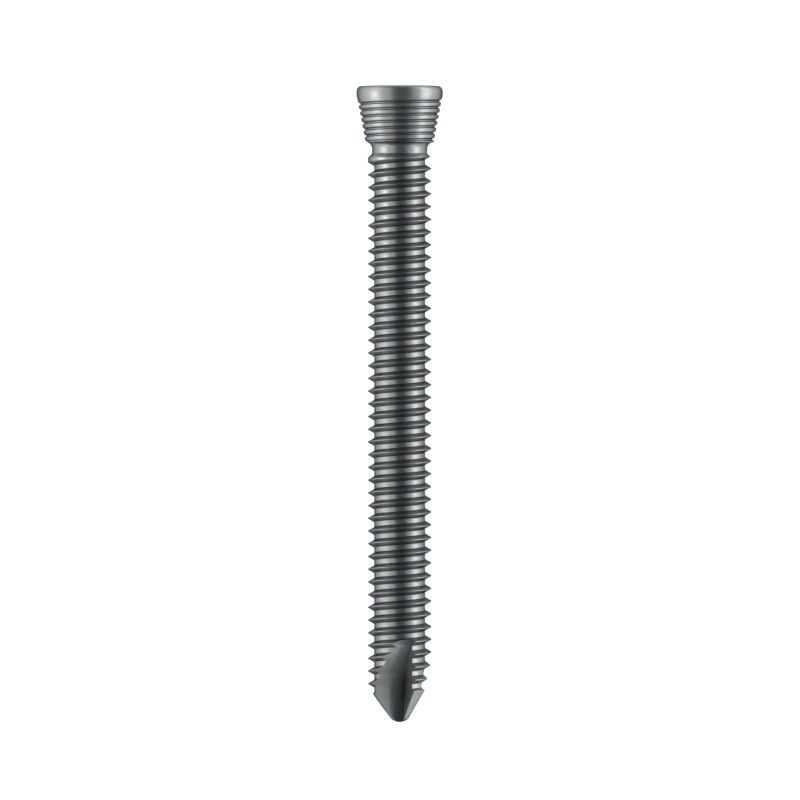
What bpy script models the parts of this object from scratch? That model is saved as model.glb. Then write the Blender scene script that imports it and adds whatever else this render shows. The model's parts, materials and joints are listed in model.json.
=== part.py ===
"""Self-tapping locking bone screw, 5.0 mm by 50 mm, with a threaded conical head.

The screw is one piece, turned from bar. It is modelled upright in a frame of its own,
with the top of the head at height zero and the tip pointing down. Its outline is worked
out in columns around the axis: each column starts as the turned outline, then loses the
thread grooves that pass through it, and the columns are joined into one closed skin.
The hexagonal socket and the cutting flutes are then cut out of that skin, and the screw
is laid on its side as it comes to rest, on its head and on its thread.

All sizes are in metres and all angles in degrees. Angles around the axis are counted
counterclockwise as seen from above the head, and 270 is the side that ends up on top.
"""

import math

import bmesh
import bpy

# Overall
LENGTH = 0.0500
COLUMNS = 24

# Rim of the head; it stands out from the crests of the thread below it by the step
RIM_DIAMETER = 0.00680
RIM_HEIGHT = 0.00116
RIM_TOP_ROUND = 0.00038
RIM_LOWER_BEVEL = 0.00040
RIM_STEP = 0.00010

# Conical part of the head, measured over the crests of its thread
HEAD_LENGTH = 0.00443
HEAD_TAPER_ANGLE = 10.6

# Fine thread on the head; the lead-in is from the rim to its first full groove
HEAD_PITCH = 0.00050
HEAD_THREAD_DEPTH = 0.00017
HEAD_ROOT_WIDTH = 0.00006
HEAD_FLANK_ANGLE = 30.0
HEAD_LEAD_IN = 0.00003

# Neck between the fillet under the head and the flare of the shank
NECK_DIAMETER = 0.00434
NECK_LENGTH = 0.00035
NECK_FLARE_ANGLE = 45.0

# Thread of the shank; the lead-in is from the flare to its first full groove
THREAD_DIAMETER = 0.00500
THREAD_DEPTH = 0.00050
THREAD_PITCH = 0.00100
THREAD_CREST_WIDTH = 0.00005
THREAD_FLANK_ANGLE = 30.0
THREAD_LEAD_IN = 0.00035

# Share of a turn in which a thread tool leaves the metal, counted up from angle zero
RUN_OUT_START = 0.03
RUN_OUT_END = 0.36

# Point
POINT_ANGLE = 35.8
NOSE_RADIUS = 0.00102

# Cutting flutes; a rake face lies on a half plane through the axis, and a floor leaves it at
# an angle past square, turns along a hollow and runs straight out; towards the head the floor
# rises from the web to the core, then to the crests, and its angle to the rake face grows less
FLUTE_COUNT = 3
FLUTE_LENGTH = 0.00690
FLUTE_WEB = 0.00052
FLUTE_RAMP_ANGLE = 27.0
FLUTE_END_ANGLE = 35.0
FLUTE_BLEND_RADIUS = 0.00300
FLUTE_FLOOR_ANGLE_AT_WEB = 31.0
FLUTE_FLOOR_ANGLE_AT_CORE = 22.0
FLUTE_FLOOR_RADIUS = 0.00320
FLUTE_FLOOR_TURN = 23.0
FLUTE_RAKE_DIRECTION = 299.5

# Hexagonal socket
SOCKET_ACROSS_FLATS = 0.00350
SOCKET_DEPTH = 0.00280
PILOT_DIAMETER = 0.00340
PILOT_POINT_ANGLE = 31.0
COUNTERSINK_MARGIN = 0.00010
COUNTERSINK_ANGLE = 45.0

# Working values that aren't sizes of the screw
ARC_STEPS = 4
REST_STEPS = 4
DRILL_CENTRE_SHARE = 0.05
CUTTER_MARGIN = 0.0005
POINT_SPACING = 0.000008
SHARP_EDGE_ANGLE = 25.0

# Finish
STEEL_COLOUR = (0.56, 0.57, 0.56, 1.0)
STEEL_ROUGHNESS = 0.28


def tangent(degrees):
    """Tangent of an angle in degrees."""
    return math.tan(math.radians(degrees))


def first_corner():
    """Angle of the first column, half a facet round, so that facets face up, down and aside."""
    return 180 / COLUMNS


def corner_share():
    """How much further out a column lies than the round surface that its facets touch."""
    return 1 / math.cos(math.pi / COLUMNS)


def arc(centre_radius, centre_height, radius, start, end):
    """Points of an arc in the plane of an outline; 0 points outward and 90 points up."""
    points = []
    for step in range(ARC_STEPS + 1):
        angle = math.radians(start + (end - start) * step / ARC_STEPS)
        across = centre_radius + radius * math.cos(angle)
        up = centre_height + radius * math.sin(angle)
        points.append((across, up))
    return points


def head_cone_radius(height):
    """Radius of the head's cone, over the crests of its thread, at a height."""
    below_rim = -height - RIM_HEIGHT
    return RIM_DIAMETER / 2 - RIM_STEP - below_rim * tangent(HEAD_TAPER_ANGLE)


def neck_fillet():
    """Radius of the fillet that takes the underside of the head down to the neck."""
    return max(head_cone_radius(-HEAD_LENGTH) - NECK_DIAMETER / 2, 0.0)


def flare_length():
    """Length of the flare that takes the neck out to the shank's full diameter."""
    return abs(THREAD_DIAMETER - NECK_DIAMETER) / 2 / tangent(NECK_FLARE_ANGLE)


def shank_top():
    """Height at which the shank has its full diameter."""
    return -HEAD_LENGTH - neck_fillet() - NECK_LENGTH - flare_length()


def head_outline():
    """Turned outline of the head, from the edge of its flat top to its lower edge."""
    rim_radius = RIM_DIAMETER / 2
    points = arc(rim_radius - RIM_TOP_ROUND, -RIM_TOP_ROUND, RIM_TOP_ROUND, 90, 0)
    points.append((rim_radius, RIM_LOWER_BEVEL - RIM_HEIGHT))
    points.append((head_cone_radius(-RIM_HEIGHT), -RIM_HEIGHT))
    points.append((head_cone_radius(-HEAD_LENGTH), -HEAD_LENGTH))
    return points


def neck_outline():
    """Turned outline of the neck: the fillet under the head, the neck and its flare."""
    neck_radius = NECK_DIAMETER / 2
    fillet = neck_fillet()
    points = arc(neck_radius + fillet, -HEAD_LENGTH - fillet, fillet, 90, 180)
    points.append((neck_radius, shank_top() + flare_length()))
    points.append((THREAD_DIAMETER / 2, shank_top()))
    return points


def point_outline():
    """Turned outline of the point: a cone with a round nose that ends on the axis."""
    nose_centre = NOSE_RADIUS - LENGTH
    apex = nose_centre - NOSE_RADIUS / math.sin(math.radians(POINT_ANGLE))
    shoulder = apex + THREAD_DIAMETER / 2 / tangent(POINT_ANGLE)
    points = [(THREAD_DIAMETER / 2, shoulder)]
    points += arc(0.0, nose_centre, NOSE_RADIUS, -POINT_ANGLE, -90)
    points[-1] = (0.0, -LENGTH)
    return points


def groove_outline(height, root_radius, root_width, flank_angle, reach):
    """Outline of a thread groove, from its upper to its lower edge, opening out to a radius."""
    flank = (reach - root_radius) * tangent(flank_angle)
    half_root = root_width / 2
    return [
        (reach, height + half_root + flank),
        (root_radius, height + half_root),
        (root_radius, height - half_root),
        (reach, height - half_root - flank),
    ]


def run_out(turn):
    """Share of a groove's depth that is missing where its tool leaves the metal."""
    share = (turn - RUN_OUT_START) / (RUN_OUT_END - RUN_OUT_START)
    return min(max(share, 0.0), 1.0)


def grooves(angle, top, lowest, pitch, groove_at):
    """Grooves of one thread in the column at an angle; the first full one is at the top height."""
    turn = angle / 360
    height = top + pitch * turn
    found = []
    while height > lowest:
        if run_out(turn) < 1:
            found.append(groove_at(height, 1 - run_out(turn)))
        turn -= 1
        height -= pitch
    return found


def shank_groove(height, depth_share):
    """One groove of the shank's thread, with a flat root between straight flanks."""
    slope = tangent(THREAD_FLANK_ANGLE)
    depth = min(THREAD_DEPTH, (THREAD_PITCH - THREAD_CREST_WIDTH) / 2 / slope)
    root_width = THREAD_PITCH - THREAD_CREST_WIDTH - 2 * depth * slope
    root_radius = THREAD_DIAMETER / 2 - depth * depth_share
    reach = THREAD_DIAMETER / 2 + THREAD_DEPTH
    return groove_outline(height, root_radius, root_width, THREAD_FLANK_ANGLE, reach)


def head_groove(height, depth_share):
    """One groove of the head's thread, which is as deep everywhere along the cone."""
    root_radius = head_cone_radius(height) - HEAD_THREAD_DEPTH * depth_share
    reach = RIM_DIAMETER / 2 + HEAD_THREAD_DEPTH
    return groove_outline(height, root_radius, HEAD_ROOT_WIDTH, HEAD_FLANK_ANGLE, reach)


def radius_at(outline, height):
    """Radius of an outline, which runs from top to bottom, at a height on it."""
    for (upper_radius, upper), (lower_radius, lower) in zip(outline, outline[1:]):
        if upper >= height >= lower and upper > lower:
            share = (upper - height) / (upper - lower)
            return upper_radius + (lower_radius - upper_radius) * share
    return outline[-1][0]


def thin_out(outline):
    """An outline without the points that crowd the last one or lie on a straight stretch."""
    kept = [outline[0]]
    for point in outline[1:-1]:
        if math.dist(point, kept[-1]) < POINT_SPACING:
            continue
        if len(kept) > 1 and lies_between(kept[-2], kept[-1], point):
            kept.pop()
        kept.append(point)
    if math.dist(outline[-1], kept[-1]) < POINT_SPACING:
        kept.pop()
    kept.append(outline[-1])
    return kept


def lies_between(first, middle, last):
    """Whether a point lies on the straight stretch between its two neighbours."""
    across = (middle[0] - first[0]) * (last[1] - first[1])
    up = (middle[1] - first[1]) * (last[0] - first[0])
    return abs(across - up) < POINT_SPACING * 0.01 * math.dist(first, last)


def cut_groove(outline, groove):
    """The outline that is left when a groove is cut into it: the smaller radius wins."""
    top = groove[0][1]
    bottom = groove[-1][1]
    heights = {height for radius, height in outline if bottom <= height <= top}
    heights.update(height for radius, height in groove)
    lowest = outline[-1][1]
    levels = sorted((height for height in heights if height >= lowest), reverse=True)
    left = [point for point in outline if point[1] > top]
    last = None
    for height in levels:
        metal = radius_at(outline, height)
        tool = radius_at(groove, height)
        if last and (last[0] - last[1]) * (metal - tool) < 0:
            share = (last[0] - last[1]) / (last[0] - last[1] - metal + tool)
            crossing = last[2] + (height - last[2]) * share
            left.append((radius_at(outline, crossing), crossing))
        left.append((min(metal, tool), height))
        last = (metal, tool, height)
    left += [point for point in outline if point[1] < bottom]
    return left


def column_outline(angle):
    """Outline of the screw in the column at an angle, threads included."""
    outline = head_outline() + neck_outline() + point_outline()
    head_top = -RIM_HEIGHT - HEAD_LEAD_IN
    on_head = grooves(angle, head_top, -HEAD_LENGTH - HEAD_PITCH, HEAD_PITCH, head_groove)
    thread_top = shank_top() - THREAD_LEAD_IN
    on_shank = grooves(angle, thread_top, -LENGTH, THREAD_PITCH, shank_groove)
    for groove in on_head + on_shank:
        outline = cut_groove(outline, groove)
    return thin_out(outline)


def join_columns(mesh, left, right):
    """Faces between two neighbouring columns, always along the shorter diagonal."""
    one = 0
    other = 0
    while one < len(left) - 1 or other < len(right) - 1:
        step_left = math.inf
        step_right = math.inf
        if one < len(left) - 1:
            step_left = (left[one + 1].co - right[other].co).length
        if other < len(right) - 1:
            step_right = (right[other + 1].co - left[one].co).length
        if step_left <= step_right:
            corners = (left[one], left[one + 1], right[other])
            one += 1
        else:
            corners = (left[one], right[other + 1], right[other])
            other += 1
        if len(set(corners)) == 3:
            mesh.faces.new(corners)


def make_object(name, mesh):
    """An object of the scene made from a bmesh, which is freed."""
    data = bpy.data.meshes.new(name)
    mesh.to_mesh(data)
    mesh.free()
    thing = bpy.data.objects.new(name, data)
    bpy.context.scene.collection.objects.link(thing)
    return thing


def threaded_blank():
    """The screw without its socket and flutes: columns around the axis, joined and capped."""
    mesh = bmesh.new()
    tip = mesh.verts.new((0.0, 0.0, -LENGTH))
    columns = []
    for index in range(COLUMNS):
        angle = first_corner() + 360 * index / COLUMNS
        across = corner_share() * math.cos(math.radians(angle))
        along = corner_share() * math.sin(math.radians(angle))
        outline = column_outline(angle)[:-1]
        column = [mesh.verts.new((radius * across, radius * along, height)) for radius, height in outline]
        columns.append(column + [tip])
    for index in range(COLUMNS):
        join_columns(mesh, columns[index - 1], columns[index])
    mesh.faces.new([column[0] for column in columns])
    return make_object("bone_screw", mesh)


def loft(name, rings):
    """A closed solid through rings of points, each given counterclockwise from above."""
    mesh = bmesh.new()
    rows = [[mesh.verts.new(point) for point in ring] for ring in rings]
    for lower, upper in zip(rows, rows[1:]):
        for index in range(len(lower)):
            mesh.faces.new((lower[index - 1], lower[index], upper[index], upper[index - 1]))
    mesh.faces.new(rows[0][::-1])
    mesh.faces.new(rows[-1])
    bmesh.ops.triangulate(mesh, faces=mesh.faces[:])
    return make_object(name, mesh)


def ring_of_points(radius, height, corners, start):
    """Corners of a regular polygon at a height, counterclockwise from above."""
    points = []
    for index in range(corners):
        angle = math.radians(start + 360 * index / corners)
        points.append((radius * math.cos(angle), radius * math.sin(angle), height))
    return points


def socket_corner_radius():
    """Distance from the axis to a corner of the hexagonal socket."""
    return SOCKET_ACROSS_FLATS / 2 / math.cos(math.radians(30))


def socket_cutter():
    """Hexagon of the socket."""
    radius = socket_corner_radius()
    rings = [
        ring_of_points(radius, -SOCKET_DEPTH, 6, 0),
        ring_of_points(radius, CUTTER_MARGIN, 6, 0),
    ]
    return loft("socket", rings)


def pilot_cutter():
    """Point of the pilot drill, which leaves a shallow cone under the hexagon."""
    radius = PILOT_DIAMETER / 2
    centre_radius = radius * DRILL_CENTRE_SHARE
    drop = (radius - centre_radius) * tangent(PILOT_POINT_ANGLE)
    rings = [
        ring_of_points(centre_radius, -SOCKET_DEPTH - drop, COLUMNS, first_corner()),
        ring_of_points(radius, -SOCKET_DEPTH, COLUMNS, first_corner()),
        ring_of_points(radius, -SOCKET_DEPTH / 2, COLUMNS, first_corner()),
    ]
    return loft("pilot", rings)


def countersink_cutter():
    """Cone that breaks the upper edge of the socket, just wider than its corners."""
    radius = socket_corner_radius() + COUNTERSINK_MARGIN
    slope = tangent(COUNTERSINK_ANGLE)
    small_radius = SOCKET_ACROSS_FLATS / 4
    rings = [
        ring_of_points(small_radius, (small_radius - radius) / slope, COLUMNS, first_corner()),
        ring_of_points(radius + CUTTER_MARGIN, CUTTER_MARGIN / slope, COLUMNS, first_corner()),
    ]
    return loft("countersink", rings)


def thread_core_radius():
    """Radius of the shank's core, at the roots of its thread."""
    return THREAD_DIAMETER / 2 - THREAD_DEPTH


def flute_floor_angle(floor):
    """Angle past square at which a floor leaves the rake face, at a distance from the axis."""
    share = (floor - FLUTE_WEB) / (thread_core_radius() - FLUTE_WEB)
    change = FLUTE_FLOOR_ANGLE_AT_CORE - FLUTE_FLOOR_ANGLE_AT_WEB
    return FLUTE_FLOOR_ANGLE_AT_WEB + change * share


def flute_section(floor, reach):
    """Section of a flute's cutter: in along the rake face, round a hollow, then straight out."""
    angle = flute_floor_angle(floor)
    tilt = math.radians(angle)
    outward = floor + FLUTE_FLOOR_RADIUS * math.cos(tilt)
    aside = FLUTE_FLOOR_RADIUS * math.sin(tilt)
    last = angle - 180 - FLUTE_FLOOR_TURN
    hollow = arc(outward, aside, FLUTE_FLOOR_RADIUS, angle - 180, last)
    slope = math.radians(last)
    end_outward = hollow[-1][0] + reach * math.sin(slope)
    end_aside = hollow[-1][1] - reach * math.cos(slope)
    return [(2 * reach, 0.0)] + hollow + [(end_outward, end_aside), (2 * reach, end_aside)]


def flute_stations():
    """Heights of a flute's sections with the depth of its floor, from below the tip upward."""
    end_slope = tangent(FLUTE_END_ANGLE)
    top = FLUTE_LENGTH - LENGTH
    ramp_end = top - THREAD_DEPTH / end_slope
    ramp_start = ramp_end - (thread_core_radius() - FLUTE_WEB) / tangent(FLUTE_RAMP_ANGLE)
    straight_end = ramp_start - FLUTE_BLEND_RADIUS * tangent(FLUTE_RAMP_ANGLE / 2)
    stations = [(-LENGTH - CUTTER_MARGIN, FLUTE_WEB)]
    for step in range(ARC_STEPS + 1):
        angle = math.radians(FLUTE_RAMP_ANGLE * step / ARC_STEPS)
        height = straight_end + FLUTE_BLEND_RADIUS * math.sin(angle)
        stations.append((height, FLUTE_WEB + FLUTE_BLEND_RADIUS * (1 - math.cos(angle))))
    stations.append((ramp_end, thread_core_radius()))
    stations.append((top + CUTTER_MARGIN / end_slope, THREAD_DIAMETER / 2 + CUTTER_MARGIN))
    return stations


def flute_cutter(direction):
    """Cutter of one flute, with its rake face on the half plane at a direction."""
    reach = THREAD_DIAMETER / 2 + 2 * CUTTER_MARGIN
    turn = math.radians(direction)
    rings = []
    for height, floor in flute_stations():
        ring = []
        for outward, aside in flute_section(floor, reach):
            x = outward * math.cos(turn) + aside * math.sin(turn)
            y = outward * math.sin(turn) - aside * math.cos(turn)
            ring.append((x, y, height))
        rings.append(ring)
    return loft("flute", rings)


def carve(body, cutter):
    """Cuts a cutter out of a body for good and removes the cutter."""
    cut = body.modifiers.new("cut", "BOOLEAN")
    cut.operation = "DIFFERENCE"
    cut.object = cutter
    shaped = body.evaluated_get(bpy.context.evaluated_depsgraph_get())
    carved = bpy.data.meshes.new_from_object(shaped)
    body.modifiers.clear()
    body.data = carved
    bpy.data.objects.remove(cutter)


def resting_tilt(body):
    """Tilt of the axis at which the head and a crest of the thread both touch the ground."""
    points = [vertex.co for vertex in body.data.vertices]
    head = [point for point in points if point.z > -LENGTH / 2]
    shank = [point for point in points if point.z <= -LENGTH / 2]
    tilt = 0.0
    for step in range(REST_STEPS):
        head_foot = max(head, key=lambda point: point.y - point.z * math.tan(tilt))
        shank_foot = max(shank, key=lambda point: point.y - point.z * math.tan(tilt))
        tilt = math.atan2(head_foot.y - shank_foot.y, head_foot.z - shank_foot.z)
    return tilt


def lay_down(body):
    """Turns the screw on its side, sets it on the ground and centres it over the origin."""
    body.rotation_euler = (resting_tilt(body) - math.radians(90), 0.0, 0.0)
    bpy.context.view_layer.update()
    corners = [body.matrix_world @ vertex.co for vertex in body.data.vertices]
    for axis in range(3):
        low = min(corner[axis] for corner in corners)
        high = max(corner[axis] for corner in corners)
        body.location[axis] -= low if axis == 2 else (low + high) / 2


def steel():
    """Polished implant steel."""
    material = bpy.data.materials.new("implant_steel")
    material.use_nodes = True
    shader = material.node_tree.nodes["Principled BSDF"]
    shader.inputs["Base Color"].default_value = STEEL_COLOUR
    shader.inputs["Metallic"].default_value = 1.0
    shader.inputs["Roughness"].default_value = STEEL_ROUGHNESS
    return material


def main():
    """Builds the screw in an empty scene."""
    for thing in list(bpy.data.objects):
        bpy.data.objects.remove(thing)
    screw = threaded_blank()
    for cutter in (socket_cutter(), pilot_cutter(), countersink_cutter()):
        carve(screw, cutter)
    for index in range(FLUTE_COUNT):
        carve(screw, flute_cutter(FLUTE_RAKE_DIRECTION + 360 * index / FLUTE_COUNT))
    screw.data.materials.clear()
    screw.data.materials.append(steel())
    screw.data.shade_smooth()
    screw.data.set_sharp_from_angle(angle=math.radians(SHARP_EDGE_ANGLE))
    lay_down(screw)


main()
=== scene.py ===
"""Looks of the bone screw: a fine mesh of its threads, socket and flutes, its steel finish,
and the plain studio that it lies in.

The fine mesh has the same sizes as the solid that it stands for. It is worked out upright,
with the top of the head at height zero and the tip pointing down, and is then laid into the
frame along the axis that the frame's mount on the head gives. Sizes are in metres and angles
in degrees. Angles around the axis are counted counterclockwise as seen from above the head,
and 270 is the side that ends up on top.
"""

import json
import math

import bmesh
import bpy
from mathutils import Matrix, Vector


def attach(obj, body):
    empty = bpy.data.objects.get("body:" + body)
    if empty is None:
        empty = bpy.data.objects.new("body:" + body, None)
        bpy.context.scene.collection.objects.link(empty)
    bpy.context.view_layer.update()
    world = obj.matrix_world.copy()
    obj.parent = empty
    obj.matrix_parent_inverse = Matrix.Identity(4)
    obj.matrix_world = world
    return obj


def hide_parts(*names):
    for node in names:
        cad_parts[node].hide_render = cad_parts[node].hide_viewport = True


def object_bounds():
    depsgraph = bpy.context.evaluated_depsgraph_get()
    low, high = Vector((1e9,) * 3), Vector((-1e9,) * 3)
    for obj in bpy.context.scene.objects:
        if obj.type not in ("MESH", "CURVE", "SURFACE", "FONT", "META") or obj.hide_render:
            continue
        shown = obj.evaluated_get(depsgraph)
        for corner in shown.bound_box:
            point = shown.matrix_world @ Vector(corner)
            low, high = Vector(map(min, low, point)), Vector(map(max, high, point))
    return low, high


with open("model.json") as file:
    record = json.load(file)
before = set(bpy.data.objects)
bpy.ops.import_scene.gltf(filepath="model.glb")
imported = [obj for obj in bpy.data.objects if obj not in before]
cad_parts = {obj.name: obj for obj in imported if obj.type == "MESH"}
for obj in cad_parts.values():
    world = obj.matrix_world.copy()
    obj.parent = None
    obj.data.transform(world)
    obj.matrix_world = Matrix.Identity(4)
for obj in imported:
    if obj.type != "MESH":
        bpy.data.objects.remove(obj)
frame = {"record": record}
cad_low, cad_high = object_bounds()

# View of the photograph, in its own pixels
PICTURE_SIZE = 800
PIXELS_PER_METRE = 12722
AXIS_PIXEL_X = 399.6
HEAD_TOP_PIXEL_Y = 85.3

# Camera: its lens and sensor in millimetres, and the nearest and farthest that it sees, as shares
# of its distance
CAMERA_LENS = 570.0
SENSOR_WIDTH = 36.0
CAMERA_CLIP = (0.1, 20.0)

# Overall
LENGTH = 0.0500
COLUMNS = 84

# Rim of the head
RIM_DIAMETER = 0.00680
RIM_HEIGHT = 0.00116
RIM_TOP_ROUND = 0.00038
RIM_LOWER_BEVEL = 0.00040
RIM_STEP = 0.00010

# Conical part of the head and its fine thread
HEAD_LENGTH = 0.00443
HEAD_TAPER_ANGLE = 10.6
HEAD_PITCH = 0.00050
HEAD_THREAD_DEPTH = 0.00017
HEAD_ROOT_WIDTH = 0.00006
HEAD_FLANK_ANGLE = 30.0
HEAD_LEAD_IN = 0.00003

# Neck
NECK_DIAMETER = 0.00434
NECK_LENGTH = 0.00035
NECK_FLARE_ANGLE = 45.0

# Thread of the shank
THREAD_DIAMETER = 0.00500
THREAD_DEPTH = 0.00050
THREAD_PITCH = 0.00100
THREAD_CREST_WIDTH = 0.00005
THREAD_FLANK_ANGLE = 30.0
THREAD_LEAD_IN = 0.00035

# Share of a turn in which a thread tool leaves the metal, counted up from angle zero
RUN_OUT_START = 0.03
RUN_OUT_END = 0.36

# Point
POINT_ANGLE = 35.8
NOSE_RADIUS = 0.00102

# Cutting flutes; a rake face lies on a half plane through the axis, and a floor leaves it at
# an angle past square, turns along a hollow and runs straight out; towards the head the floor
# rises from the web to the core, then to the crests, and its angle to the rake face grows less
FLUTE_COUNT = 3
FLUTE_LENGTH = 0.00690
FLUTE_WEB = 0.00052
FLUTE_RAMP_ANGLE = 27.0
FLUTE_END_ANGLE = 35.0
FLUTE_BLEND_RADIUS = 0.00300
FLUTE_FLOOR_ANGLE_AT_WEB = 31.0
FLUTE_FLOOR_ANGLE_AT_CORE = 22.0
FLUTE_FLOOR_RADIUS = 0.00320
FLUTE_FLOOR_TURN = 23.0
FLUTE_RAKE_DIRECTION = 299.5

# Hexagonal socket
SOCKET_ACROSS_FLATS = 0.00350
SOCKET_CORNER_RADIUS = 0.00010
SOCKET_DEPTH = 0.00280
PILOT_DIAMETER = 0.00340
PILOT_POINT_ANGLE = 31.0
COUNTERSINK_MARGIN = 0.00010
COUNTERSINK_ANGLE = 45.0

# Small radii of the edges: inner ones at the roots, outer ones at the crests; each takes up at
# most a share of the stretches beside it
INNER_EDGE_RADIUS = 0.00013
OUTER_EDGE_RADIUS = 0.00003
EDGE_SHARE = 0.45

# Colour of the steel: its two shades, mixed by stains, and the tint of its edges
STEEL_DARK = (0.238, 0.247, 0.249)
STEEL_LIGHT = (0.288, 0.297, 0.299)
STEEL_EDGE_TINT = (0.12, 0.125, 0.127, 1.0)
STAIN_NOISE = {"Scale": 900.0, "Detail": 4.0, "Roughness": 0.55}

# Shares of painted shade by which the steel's colour is darker in the corners of the flutes and
# at the end of the nose, and the distances at which that ends
CORNER_PAINTED_SHADE = 0.75
CORNER_REACH = 0.00120
NOSE_PAINTED_SHADE = 0.80
NOSE_REACH = 0.00040

# Turning marks: their noise, stretched around the axis, and their depth; the middle part of the
# noise sets the steel's roughness
TURNING_MARK_SCALE = (600.0, 600.0, 16000.0)
TURNING_MARK_NOISE = {"Scale": 1.0, "Detail": 3.0, "Roughness": 0.6}
TURNING_MARK_DEPTH = 0.0000020
TURNING_MARK_MIDDLE = (0.3, 0.7)
STEEL_ROUGHNESS = (0.26, 0.38)

# Fineness of the mesh: steps of its curves, the least space between points of an outline, how
# far off a straight line a point still counts as on it, and the angle from which an edge is sharp
ARC_STEPS = 10
RAMP_STEPS = 16
EDGE_STEPS = 4
POINT_SPACING = 0.000004
STRAIGHTNESS = 0.00000004
SHARP_EDGE_ANGLE = 30.0

# Cutters: how far they reach past the metal, and the blunt end of the pilot drill's point as a
# share of its radius
CUTTER_MARGIN = 0.0005
DRILL_CENTRE_SHARE = 0.02

# Floor and room
FLOOR_SIZE = 4.0
FLOOR_COLOUR = (0.90, 0.90, 0.90, 1.0)
FLOOR_ROUGHNESS = 0.9
FLOOR_GLOW = 0.55
ROOM_COLOUR = (0.136, 0.148, 0.152, 1.0)

# Softboxes along the screw: the name of each, its lean from overhead towards the right, its
# width, its radiance, its two ends along the screw from the frame's middle towards the head, and
# whether it shows in the steel; on the right, the light is dimmer past the tip
SOFTBOX_DISTANCE = 0.40
SOFTBOXES = (
    ("softbox_right", 84.0, 0.36, 3.1, -0.15, 0.575, True),
    ("softbox_right_tip", 84.0, 0.36, 1.8, -0.575, -0.15, True),
    ("softbox_upper_right", 44.0, 0.16, 0.8, -0.15, 0.575, True),
    ("softbox_upper_right_tip", 44.0, 0.16, 0.5, -0.575, -0.15, True),
    ("softbox_left", -72.0, 0.28, 2.05, -0.575, 0.575, True),
    ("softbox_upper_left", -36.0, 0.22, 1.0, -0.575, 0.575, True),
    ("softbox_above", 0.0, 0.40, 0.6, -0.575, 0.575, False),
)

# Small lit card beside the head, set back from the head's top towards the tip
CARD_LEAN = -68.0
CARD_DISTANCE = 0.040
CARD_WIDTH = 0.010
CARD_LENGTH = 0.008
CARD_RADIANCE = 4.0
CARD_SETBACK = 0.0065


def tangent(degrees):
    """Tangent of an angle in degrees."""
    return math.tan(math.radians(degrees))


def arc(centre_radius, centre_height, radius, start, end):
    """Points of an arc in the plane of an outline; 0 points outward and 90 points up."""
    points = []
    for step in range(ARC_STEPS + 1):
        angle = math.radians(start + (end - start) * step / ARC_STEPS)
        across = centre_radius + radius * math.cos(angle)
        up = centre_height + radius * math.sin(angle)
        points.append((across, up))
    return points


def head_cone_radius(height):
    """Radius of the head's cone, over the crests of its thread, at a height."""
    below_rim = -height - RIM_HEIGHT
    return RIM_DIAMETER / 2 - RIM_STEP - below_rim * tangent(HEAD_TAPER_ANGLE)


def neck_fillet():
    """Radius of the fillet that takes the underside of the head down to the neck."""
    return head_cone_radius(-HEAD_LENGTH) - NECK_DIAMETER / 2


def flare_length():
    """Length of the flare that takes the neck out to the shank's full diameter."""
    return (THREAD_DIAMETER - NECK_DIAMETER) / 2 / tangent(NECK_FLARE_ANGLE)


def shank_top():
    """Height at which the shank has its full diameter."""
    return -HEAD_LENGTH - neck_fillet() - NECK_LENGTH - flare_length()


def turned_outline():
    """Outline of the turned blank, from the edge of the head's flat top down to the tip."""
    rim_radius = RIM_DIAMETER / 2
    neck_radius = NECK_DIAMETER / 2
    shank_radius = THREAD_DIAMETER / 2
    fillet = neck_fillet()
    points = arc(rim_radius - RIM_TOP_ROUND, -RIM_TOP_ROUND, RIM_TOP_ROUND, 90, 0)
    points.append((rim_radius, RIM_LOWER_BEVEL - RIM_HEIGHT))
    points.append((head_cone_radius(-RIM_HEIGHT), -RIM_HEIGHT))
    points.append((head_cone_radius(-HEAD_LENGTH), -HEAD_LENGTH))
    points += arc(neck_radius + fillet, -HEAD_LENGTH - fillet, fillet, 90, 180)
    points.append((neck_radius, shank_top() + flare_length()))
    points.append((shank_radius, shank_top()))
    nose_centre = NOSE_RADIUS - LENGTH
    apex = nose_centre - NOSE_RADIUS / math.sin(math.radians(POINT_ANGLE))
    points.append((shank_radius, apex + shank_radius / tangent(POINT_ANGLE)))
    points += arc(0.0, nose_centre, NOSE_RADIUS, -POINT_ANGLE, -90)
    points[-1] = (0.0, -LENGTH)
    return points


def groove_outline(height, root_radius, root_width, flank_angle, reach):
    """Outline of a thread groove, from its upper to its lower edge, opening out to a radius."""
    flank = (reach - root_radius) * tangent(flank_angle)
    half_root = root_width / 2
    return [
        (reach, height + half_root + flank),
        (root_radius, height + half_root),
        (root_radius, height - half_root),
        (reach, height - half_root - flank),
    ]


def run_out(turn):
    """Share of a groove's depth that is missing where its tool leaves the metal."""
    share = (turn - RUN_OUT_START) / (RUN_OUT_END - RUN_OUT_START)
    return min(max(share, 0.0), 1.0)


def grooves(angle, top, lowest, pitch, groove_at):
    """Grooves of one thread in the column at an angle; the first full one is at the top height."""
    turn = angle / 360
    height = top + pitch * turn
    found = []
    while height > lowest:
        if run_out(turn) < 1:
            found.append(groove_at(height, 1 - run_out(turn)))
        turn -= 1
        height -= pitch
    return found


def shank_groove(height, depth_share):
    """One groove of the shank's thread, with a flat root between straight flanks."""
    slope = tangent(THREAD_FLANK_ANGLE)
    root_width = THREAD_PITCH - THREAD_CREST_WIDTH - 2 * THREAD_DEPTH * slope
    root_radius = THREAD_DIAMETER / 2 - THREAD_DEPTH * depth_share
    reach = THREAD_DIAMETER / 2 + THREAD_DEPTH
    return groove_outline(height, root_radius, root_width, THREAD_FLANK_ANGLE, reach)


def head_groove(height, depth_share):
    """One groove of the head's thread, which is as deep everywhere along the cone."""
    root_radius = head_cone_radius(height) - HEAD_THREAD_DEPTH * depth_share
    reach = RIM_DIAMETER / 2 + HEAD_THREAD_DEPTH
    return groove_outline(height, root_radius, HEAD_ROOT_WIDTH, HEAD_FLANK_ANGLE, reach)


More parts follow.
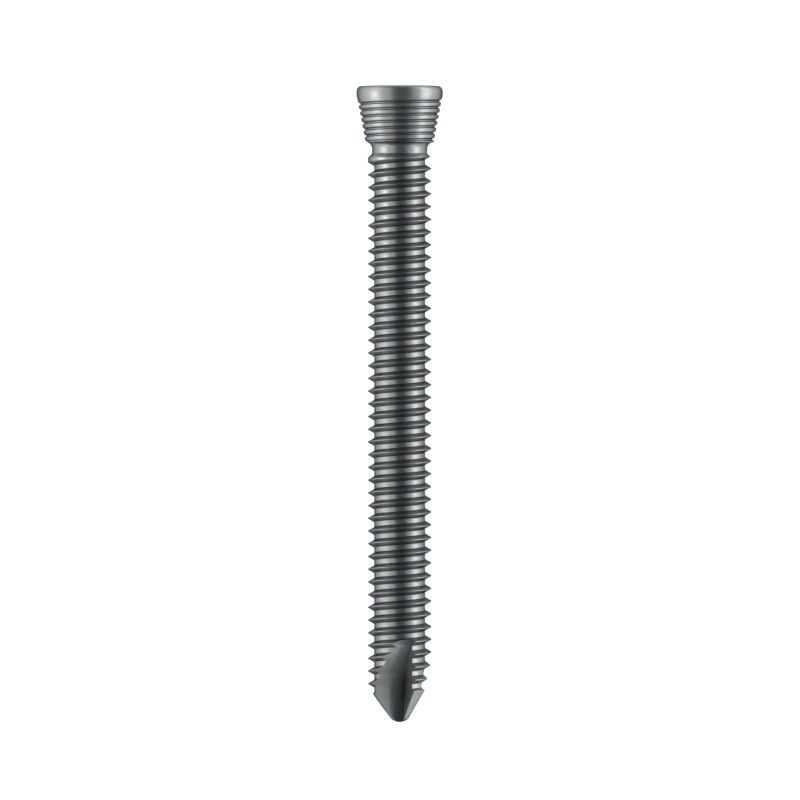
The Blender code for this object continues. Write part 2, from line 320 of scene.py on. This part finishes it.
def radius_at(outline, height):
    """Radius of an outline, which runs from top to bottom, at a height on it."""
    for (upper_radius, upper), (lower_radius, lower) in zip(outline, outline[1:]):
        if upper >= height >= lower and upper > lower:
            share = (upper - height) / (upper - lower)
            return upper_radius + (lower_radius - upper_radius) * share
    return outline[-1][0]


def cut_groove(outline, groove):
    """The outline that is left when a groove is cut into it: the smaller radius wins."""
    top = groove[0][1]
    bottom = groove[-1][1]
    above = [point for point in outline if point[1] > top]
    below = [point for point in outline if point[1] < bottom]
    first = max(len(above) - 1, 0)
    last = len(outline) - max(len(below) - 1, 0)
    near = outline[first:last]
    heights = {height for radius, height in near if bottom <= height <= top}
    heights.update(height for radius, height in groove if height >= outline[-1][1])
    left = []
    last_gap = 0.0
    last_height = top
    for height in sorted(heights, reverse=True):
        metal = radius_at(near, height)
        tool = radius_at(groove, height)
        gap = metal - tool
        if last_gap * gap < 0:
            share = last_gap / (last_gap - gap)
            crossing = last_height + (height - last_height) * share
            left.append((radius_at(near, crossing), crossing))
        left.append((min(metal, tool), height))
        last_gap = gap
        last_height = height
    return above + left + below


def lies_between(first, middle, last):
    """Whether a point lies on the straight stretch between its two neighbours."""
    across = (middle[0] - first[0]) * (last[1] - first[1])
    up = (middle[1] - first[1]) * (last[0] - first[0])
    return abs(across - up) < STRAIGHTNESS * math.dist(first, last)


def thin_out(outline):
    """An outline without the points that crowd the last one or lie on a straight stretch."""
    kept = [outline[0]]
    for point in outline[1:-1]:
        if math.dist(point, kept[-1]) < POINT_SPACING:
            continue
        if len(kept) > 1 and lies_between(kept[-2], kept[-1], point):
            kept.pop()
        kept.append(point)
    kept.append(outline[-1])
    return kept


def rounded_corner(before, corner, after):
    """Points of a small radius in place of one corner of an outline."""
    middle = Vector(corner)
    entry = middle - Vector(before)
    leaving = Vector(after) - middle
    turn = entry.angle(leaving)
    outer = entry.x * leaving.y - entry.y * leaving.x < 0
    radius = OUTER_EDGE_RADIUS if outer else INNER_EDGE_RADIUS
    reach = radius * math.tan(turn / 2)
    reach = min(reach, entry.length * EDGE_SHARE, leaving.length * EDGE_SHARE)
    if reach < POINT_SPACING:
        return [corner]
    start = middle - entry.normalized() * reach
    end = middle + leaving.normalized() * reach
    points = []
    for step in range(EDGE_STEPS + 1):
        share = step / EDGE_STEPS
        rest = 1 - share
        point = start * rest ** 2 + middle * 2 * share * rest + end * share ** 2
        points.append((point.x, point.y))
    return points


def column_outline(angle):
    """Outline of the screw in the column at an angle, with its threads and small radii."""
    outline = turned_outline()
    head_top = -RIM_HEIGHT - HEAD_LEAD_IN
    on_head = grooves(angle, head_top, -HEAD_LENGTH - HEAD_PITCH, HEAD_PITCH, head_groove)
    thread_top = shank_top() - THREAD_LEAD_IN
    on_shank = grooves(angle, thread_top, -LENGTH, THREAD_PITCH, shank_groove)
    for groove in on_head + on_shank:
        outline = cut_groove(outline, groove)
    outline = thin_out(outline)
    rounded = [outline[0]]
    for before, corner, after in zip(outline, outline[1:], outline[2:]):
        rounded += rounded_corner(before, corner, after)
    rounded.append(outline[-1])
    return rounded


def join_columns(mesh, left, right):
    """Faces between two neighbouring columns, always along the shorter diagonal."""
    one = 0
    other = 0
    while one < len(left) - 1 or other < len(right) - 1:
        step_left = math.inf
        step_right = math.inf
        if one < len(left) - 1:
            step_left = (left[one + 1].co - right[other].co).length
        if other < len(right) - 1:
            step_right = (right[other + 1].co - left[one].co).length
        if step_left <= step_right:
            corners = (left[one], left[one + 1], right[other])
            one += 1
        else:
            corners = (left[one], right[other + 1], right[other])
            other += 1
        if len(set(corners)) == 3:
            mesh.faces.new(corners)


def make_object(name, mesh):
    """An object of the scene made from a bmesh, which is freed."""
    data = bpy.data.meshes.new(name)
    mesh.to_mesh(data)
    mesh.free()
    thing = bpy.data.objects.new(name, data)
    bpy.context.scene.collection.objects.link(thing)
    return thing


def threaded_blank():
    """The screw without its socket and flutes: columns around the axis, joined and capped."""
    mesh = bmesh.new()
    tip = mesh.verts.new((0.0, 0.0, -LENGTH))
    columns = []
    for index in range(COLUMNS):
        angle = 360 * index / COLUMNS
        across = math.cos(math.radians(angle))
        along = math.sin(math.radians(angle))
        column = []
        for radius, height in column_outline(angle)[:-1]:
            column.append(mesh.verts.new((radius * across, radius * along, height)))
        columns.append(column + [tip])
    for index in range(COLUMNS):
        join_columns(mesh, columns[index - 1], columns[index])
    mesh.faces.new([column[0] for column in columns])
    return make_object("fine_screw", mesh)


def loft(name, rings):
    """A closed solid through rings of points, each given counterclockwise from above."""
    mesh = bmesh.new()
    rows = [[mesh.verts.new(point) for point in ring] for ring in rings]
    for lower, upper in zip(rows, rows[1:]):
        for index in range(len(lower)):
            mesh.faces.new((lower[index - 1], lower[index], upper[index], upper[index - 1]))
    mesh.faces.new(rows[0][::-1])
    mesh.faces.new(rows[-1])
    bmesh.ops.triangulate(mesh, faces=mesh.faces[:])
    return make_object(name, mesh)


def ring_of_points(radius, height):
    """Points of a circle at a height, counterclockwise from above."""
    points = []
    for index in range(COLUMNS):
        angle = 2 * math.pi * (index + 0.5) / COLUMNS
        points.append((radius * math.cos(angle), radius * math.sin(angle), height))
    return points


def socket_corner_radius():
    """Distance from the axis to a sharp corner of the hexagonal socket."""
    return SOCKET_ACROSS_FLATS / 2 / math.cos(math.radians(30))


def hexagon(height):
    """Hexagon of the socket at a height, with its corners slightly rounded."""
    centre_distance = socket_corner_radius() - SOCKET_CORNER_RADIUS / math.cos(math.radians(30))
    points = []
    for corner in range(6):
        middle = math.radians(60 * corner)
        for step in range(EDGE_STEPS + 1):
            angle = middle + math.radians(60 * step / EDGE_STEPS - 30)
            x = centre_distance * math.cos(middle) + SOCKET_CORNER_RADIUS * math.cos(angle)
            y = centre_distance * math.sin(middle) + SOCKET_CORNER_RADIUS * math.sin(angle)
            points.append((x, y, height))
    return points


def socket_cutter():
    """Hexagon of the socket."""
    return loft("socket", [hexagon(-SOCKET_DEPTH), hexagon(CUTTER_MARGIN)])


def pilot_cutter():
    """Pilot drill, narrower than the hexagon; its point leaves a shallow cone under it."""
    radius = PILOT_DIAMETER / 2
    centre_radius = radius * DRILL_CENTRE_SHARE
    drop = (radius - centre_radius) * tangent(PILOT_POINT_ANGLE)
    rings = [
        ring_of_points(centre_radius, -SOCKET_DEPTH - drop),
        ring_of_points(radius, -SOCKET_DEPTH),
        ring_of_points(radius, -SOCKET_DEPTH / 2),
    ]
    return loft("pilot", rings)


def countersink_cutter():
    """Cone that breaks the upper edge of the socket; it starts well inside the hexagon and is
    just wider than its corners at the top of the head.
    """
    radius = socket_corner_radius() + COUNTERSINK_MARGIN
    slope = tangent(COUNTERSINK_ANGLE)
    small_radius = SOCKET_ACROSS_FLATS / 4
    rings = [
        ring_of_points(small_radius, (small_radius - radius) / slope),
        ring_of_points(radius + CUTTER_MARGIN, CUTTER_MARGIN / slope),
    ]
    return loft("countersink", rings)


def thread_core_radius():
    """Radius of the shank's core, at the roots of its thread."""
    return THREAD_DIAMETER / 2 - THREAD_DEPTH


def flute_floor_angle(floor):
    """Angle past square at which a floor leaves the rake face, at a distance from the axis."""
    share = (floor - FLUTE_WEB) / (thread_core_radius() - FLUTE_WEB)
    change = FLUTE_FLOOR_ANGLE_AT_CORE - FLUTE_FLOOR_ANGLE_AT_WEB
    return FLUTE_FLOOR_ANGLE_AT_WEB + change * share


def flute_directions():
    """Directions of the flutes' rake faces, evenly spaced around the axis."""
    return [FLUTE_RAKE_DIRECTION + 360 * index / FLUTE_COUNT for index in range(FLUTE_COUNT)]


def flute_section(floor, reach):
    """Section of a flute's cutter: in along the rake face, round a hollow, then straight out."""
    angle = flute_floor_angle(floor)
    tilt = math.radians(angle)
    outward = floor + FLUTE_FLOOR_RADIUS * math.cos(tilt)
    aside = FLUTE_FLOOR_RADIUS * math.sin(tilt)
    last = angle - 180 - FLUTE_FLOOR_TURN
    hollow = arc(outward, aside, FLUTE_FLOOR_RADIUS, angle - 180, last)
    slope = math.radians(last)
    end_outward = hollow[-1][0] + reach * math.sin(slope)
    end_aside = hollow[-1][1] - reach * math.cos(slope)
    return [(2 * reach, 0.0)] + hollow + [(end_outward, end_aside), (2 * reach, end_aside)]


def flute_stations():
    """Heights of a flute's sections with the depth of its floor, from below the tip upward."""
    end_slope = tangent(FLUTE_END_ANGLE)
    top = FLUTE_LENGTH - LENGTH
    ramp_end = top - THREAD_DEPTH / end_slope
    ramp_start = ramp_end - (thread_core_radius() - FLUTE_WEB) / tangent(FLUTE_RAMP_ANGLE)
    straight_end = ramp_start - FLUTE_BLEND_RADIUS * tangent(FLUTE_RAMP_ANGLE / 2)
    stations = [(-LENGTH - CUTTER_MARGIN, FLUTE_WEB)]
    for step in range(ARC_STEPS + 1):
        angle = math.radians(FLUTE_RAMP_ANGLE * step / ARC_STEPS)
        height = straight_end + FLUTE_BLEND_RADIUS * math.sin(angle)
        stations.append((height, FLUTE_WEB + FLUTE_BLEND_RADIUS * (1 - math.cos(angle))))
    blend_end, blend_floor = stations[-1]
    for step in range(1, RAMP_STEPS + 1):
        height = blend_end + (ramp_end - blend_end) * step / RAMP_STEPS
        floor = blend_floor + (thread_core_radius() - blend_floor) * step / RAMP_STEPS
        stations.append((height, floor))
    stations.append((top + CUTTER_MARGIN / end_slope, THREAD_DIAMETER / 2 + CUTTER_MARGIN))
    return stations


def flute_cutter(direction):
    """Cutter of one flute, with its rake face on the half plane at a direction."""
    reach = THREAD_DIAMETER / 2 + 2 * CUTTER_MARGIN
    turn = math.radians(direction)
    rings = []
    for height, floor in flute_stations():
        ring = []
        for outward, aside in flute_section(floor, reach):
            x = outward * math.cos(turn) + aside * math.sin(turn)
            y = outward * math.sin(turn) - aside * math.cos(turn)
            ring.append((x, y, height))
        rings.append(ring)
    return loft("flute", rings)


def carve(body, cutter):
    """Cuts a cutter out of a body for good and removes the cutter."""
    cut = body.modifiers.new("cut", "BOOLEAN")
    cut.operation = "DIFFERENCE"
    cut.object = cutter
    shaped = body.evaluated_get(bpy.context.evaluated_depsgraph_get())
    carved = bpy.data.meshes.new_from_object(shaped)
    body.modifiers.clear()
    body.data = carved
    bpy.data.objects.remove(cutter)


def keep_upright_places(body):
    """Keeps where each vertex lies in the upright screw, for the marks in the steel."""
    places = body.data.attributes.new("upright", "FLOAT_VECTOR", "POINT")
    for vertex, place in zip(body.data.vertices, places.data):
        place.vector = vertex.co


def floor_distance(stations, height):
    """Distance of the flutes' floors from the axis at a height, from the flutes' stations."""
    for (lower, near), (upper, far) in zip(stations, stations[1:]):
        if lower <= height <= upper:
            return near + (far - near) * (height - lower) / (upper - lower)
    return stations[-1][1]


def painted_corner_shade(place, outline_radius, floor):
    """Painted shade at a place: full in a flute's deep corner, none away from it."""
    core = thread_core_radius()
    depth = max(min(outline_radius, core) - floor, 0.0) / (core - FLUTE_WEB)
    if depth == 0.0:
        return 0.0
    distances = []
    for direction in flute_directions():
        turn = math.radians(direction)
        corner = (floor * math.cos(turn), floor * math.sin(turn))
        distances.append(math.dist(corner, (place.x, place.y)))
    reach = CORNER_REACH * min(outline_radius / core, 1.0)
    return (depth * max(1 - min(distances) / reach, 0.0)) ** 2


def painted_nose_shade(place):
    """Painted shade at a place near the end of the nose."""
    return max(1 - (place.z + LENGTH) / NOSE_REACH, 0.0)


def keep_painted_shades(body):
    """Keeps the painted shade, by which the steel's colour is darkened, at each vertex."""
    outline = turned_outline()
    stations = flute_stations()
    painted_shades = body.data.attributes.new("painted_shade", "FLOAT", "POINT")
    for vertex, painted_shade in zip(body.data.vertices, painted_shades.data):
        place = vertex.co
        floor = floor_distance(stations, place.z)
        # Painted shade: the steel's colour is darkened in the flutes' deep corners and at the end
        # of the nose
        corner = CORNER_PAINTED_SHADE * painted_corner_shade(place, radius_at(outline, place.z), floor)
        nose = NOSE_PAINTED_SHADE * painted_nose_shade(place)
        painted_shade.value = max(corner, nose)


def screw_axis():
    """Direction of the screw's axis in the frame, towards the head."""
    return Vector(frame["record"]["mounts"][0]["axis"])


def axis_tilt():
    """Angle by which the axis rises from the ground towards the head, in radians."""
    return math.atan2(screw_axis().z, screw_axis().y)


def lay_down(body):
    """Lays the upright mesh along the frame's axis, on the ground and centred in the frame."""
    mesh = body.data
    mesh.transform(Matrix.Rotation(axis_tilt() - math.pi / 2, 4, "X"))
    lowest = min(vertex.co.z for vertex in mesh.vertices)
    near = min(vertex.co.y for vertex in mesh.vertices)
    far = max(vertex.co.y for vertex in mesh.vertices)
    middle = (cad_low.y + cad_high.y) / 2
    mesh.transform(Matrix.Translation((0.0, middle - (near + far) / 2, cad_low.z - lowest)))


def add_node(tree, kind, **values):
    """A shader node with some of its settings and input values given by name."""
    node = tree.nodes.new(kind)
    for name, value in values.items():
        if name in node.inputs:
            node.inputs[name].default_value = value
        else:
            setattr(node, name, value)
    return node


def colour_steel(tree, place, shader):
    """Gives the steel its two shades, mixed by stains and darkened by the kept painted shade."""
    link = tree.links.new
    stains = add_node(tree, "ShaderNodeTexNoise", **STAIN_NOISE)
    link(place.outputs["Vector"], stains.inputs["Vector"])

    # This node's vector inputs share their names with its single ones, so they go by number
    colour = add_node(tree, "ShaderNodeMapRange", data_type="FLOAT_VECTOR")
    colour.inputs[9].default_value = STEEL_DARK
    colour.inputs[10].default_value = STEEL_LIGHT
    link(stains.outputs["Color"], colour.inputs["Vector"])

    # Painted shade, kept at each vertex, darkens the colour in the flutes' corners and at the
    # nose's end
    painted_shade = add_node(tree, "ShaderNodeAttribute", attribute_name="painted_shade")
    kept_share = add_node(tree, "ShaderNodeMath", operation="SUBTRACT")
    kept_share.inputs[0].default_value = 1.0
    darkened = add_node(tree, "ShaderNodeVectorMath", operation="SCALE")
    link(painted_shade.outputs["Fac"], kept_share.inputs[1])
    link(colour.outputs["Vector"], darkened.inputs["Vector"])
    link(kept_share.outputs[0], darkened.inputs["Scale"])
    link(darkened.outputs["Vector"], shader.inputs["Base Color"])


def mark_steel(tree, place, shader):
    """Gives the steel its turning marks, in its roughness and as shallow grooves."""
    link = tree.links.new
    stretched = add_node(tree, "ShaderNodeMapping", Scale=TURNING_MARK_SCALE)
    marks = add_node(tree, "ShaderNodeTexNoise", **TURNING_MARK_NOISE)
    link(place.outputs["Vector"], stretched.inputs["Vector"])
    link(stretched.outputs["Vector"], marks.inputs["Vector"])

    roughness = add_node(tree, "ShaderNodeMapRange")
    roughness.inputs["From Min"].default_value = TURNING_MARK_MIDDLE[0]
    roughness.inputs["From Max"].default_value = TURNING_MARK_MIDDLE[1]
    roughness.inputs["To Min"].default_value = STEEL_ROUGHNESS[0]
    roughness.inputs["To Max"].default_value = STEEL_ROUGHNESS[1]
    link(marks.outputs["Fac"], roughness.inputs["Value"])
    link(roughness.outputs["Result"], shader.inputs["Roughness"])

    bump = add_node(tree, "ShaderNodeBump", Strength=1.0, Distance=TURNING_MARK_DEPTH)
    link(marks.outputs["Fac"], bump.inputs["Height"])
    link(bump.outputs["Normal"], shader.inputs["Normal"])


def implant_steel():
    """Polished implant steel with fine turning marks around the axis, faint stains and painted
    shade.
    """
    material = bpy.data.materials.new("implant_steel")
    material.use_nodes = True
    tree = material.node_tree
    shader = tree.nodes["Principled BSDF"]
    shader.inputs["Metallic"].default_value = 1.0
    shader.inputs["Specular Tint"].default_value = STEEL_EDGE_TINT
    place = add_node(tree, "ShaderNodeAttribute", attribute_name="upright")
    colour_steel(tree, place, shader)
    mark_steel(tree, place, shader)
    return material


def make_screw():
    """The fine screw: cut, given its steel and smooth shading, and laid into the frame."""
    body = threaded_blank()
    for cutter in (socket_cutter(), pilot_cutter(), countersink_cutter()):
        carve(body, cutter)
    for direction in flute_directions():
        carve(body, flute_cutter(direction))
    keep_upright_places(body)
    # Painted shade for the flutes' corners and the end of the nose
    keep_painted_shades(body)
    body.data.materials.clear()
    body.data.materials.append(implant_steel())
    body.data.shade_smooth()
    body.data.set_sharp_from_angle(angle=math.radians(SHARP_EDGE_ANGLE))
    lay_down(body)
    return body


def make_camera():
    """Camera over the screw, looking down square to its axis, with the head at the top."""
    data = bpy.data.cameras.new("camera")
    data.lens = CAMERA_LENS
    data.sensor_width = SENSOR_WIDTH
    distance = CAMERA_LENS / SENSOR_WIDTH * PICTURE_SIZE / PIXELS_PER_METRE
    camera = bpy.data.objects.new("camera", data)
    across = (PICTURE_SIZE / 2 - AXIS_PIXEL_X) / PIXELS_PER_METRE
    head_top = Vector((across, cad_high.y, cad_low.z + RIM_DIAMETER / 2))
    aim = head_top - screw_axis() * (PICTURE_SIZE / 2 - HEAD_TOP_PIXEL_Y) / PIXELS_PER_METRE
    upward = Vector((1, 0, 0)).cross(screw_axis())
    camera.location = aim + upward * distance
    camera.rotation_euler = (axis_tilt(), 0.0, 0.0)
    data.clip_start = distance * CAMERA_CLIP[0]
    data.clip_end = distance * CAMERA_CLIP[1]
    bpy.context.scene.collection.objects.link(camera)
    bpy.context.scene.camera = camera


def pale_floor_material():
    """Matt pale material that also glows to camera, mirror and passed rays, so it stays white."""
    material = bpy.data.materials.new("pale_floor")
    material.use_nodes = True
    tree = material.node_tree
    link = tree.links.new
    shader = tree.nodes["Principled BSDF"]
    shader.inputs["Base Color"].default_value = FLOOR_COLOUR
    shader.inputs["Roughness"].default_value = FLOOR_ROUGHNESS
    shader.inputs["Specular IOR Level"].default_value = 0.0
    ray = add_node(tree, "ShaderNodeLightPath")
    seen = add_node(tree, "ShaderNodeMath", operation="MAXIMUM")
    seen_or_passed = add_node(tree, "ShaderNodeMath", operation="MAXIMUM")
    glow = add_node(tree, "ShaderNodeMath", operation="MULTIPLY")
    glow.inputs[1].default_value = FLOOR_GLOW
    light = add_node(tree, "ShaderNodeEmission")
    both = add_node(tree, "ShaderNodeAddShader")
    link(ray.outputs["Is Camera Ray"], seen.inputs[0])
    link(ray.outputs["Is Glossy Ray"], seen.inputs[1])
    link(seen.outputs[0], seen_or_passed.inputs[0])
    link(ray.outputs["Is Transmission Ray"], seen_or_passed.inputs[1])
    link(seen_or_passed.outputs[0], glow.inputs[0])
    link(glow.outputs[0], light.inputs["Strength"])
    link(shader.outputs[0], both.inputs[0])
    link(light.outputs[0], both.inputs[1])
    link(both.outputs[0], tree.nodes["Material Output"].inputs["Surface"])
    return material


def make_floor():
    """Plain pale floor under the screw, which keeps the screw's shadow."""
    mesh = bmesh.new()
    bmesh.ops.create_grid(mesh, x_segments=1, y_segments=1, size=FLOOR_SIZE / 2)
    floor = make_object("floor", mesh)
    floor.data.materials.append(pale_floor_material())


def make_panel(name, lean, distance, width, length, radiance):
    """A lit panel that faces the screw; it leans from overhead towards the right."""
    data = bpy.data.lights.new(name, "AREA")
    data.shape = "RECTANGLE"
    data.size = width
    data.size_y = length
    data.energy = radiance * math.pi * width * length
    panel = bpy.data.objects.new(name, data)
    angle = math.radians(lean)
    panel.location = (distance * math.sin(angle), 0.0, distance * math.cos(angle))
    panel.rotation_euler = (0.0, angle, 0.0)
    bpy.context.scene.collection.objects.link(panel)
    return panel


def make_softboxes():
    """Long softboxes along the screw, from one end to the other."""
    for name, lean, width, radiance, tip_end, head_end, shows in SOFTBOXES:
        box = make_panel(name, lean, SOFTBOX_DISTANCE, width, head_end - tip_end, radiance)
        box.location.y = (tip_end + head_end) / 2
        box.visible_glossy = shows


def make_rim_card():
    """A small lit card close to the rim of the head."""
    card = make_panel("rim_card", CARD_LEAN, CARD_DISTANCE, CARD_WIDTH, CARD_LENGTH, CARD_RADIANCE)
    card.location.y = cad_high.y - CARD_SETBACK
    card.location.z += RIM_DIAMETER / 2


def make_room():
    """Even, dim light from the room."""
    world = bpy.data.worlds.new("room")
    bpy.context.scene.world = world
    world.use_nodes = True
    world.node_tree.nodes["Background"].inputs["Color"].default_value = ROOM_COLOUR


make_camera()
screw = make_screw()
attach(screw, "root")
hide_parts("bone_screw")
make_floor()
make_softboxes()
make_rim_card()
make_room()
bpy.context.scene.view_settings.view_transform = "Standard"

bpy.context.view_layer.update()
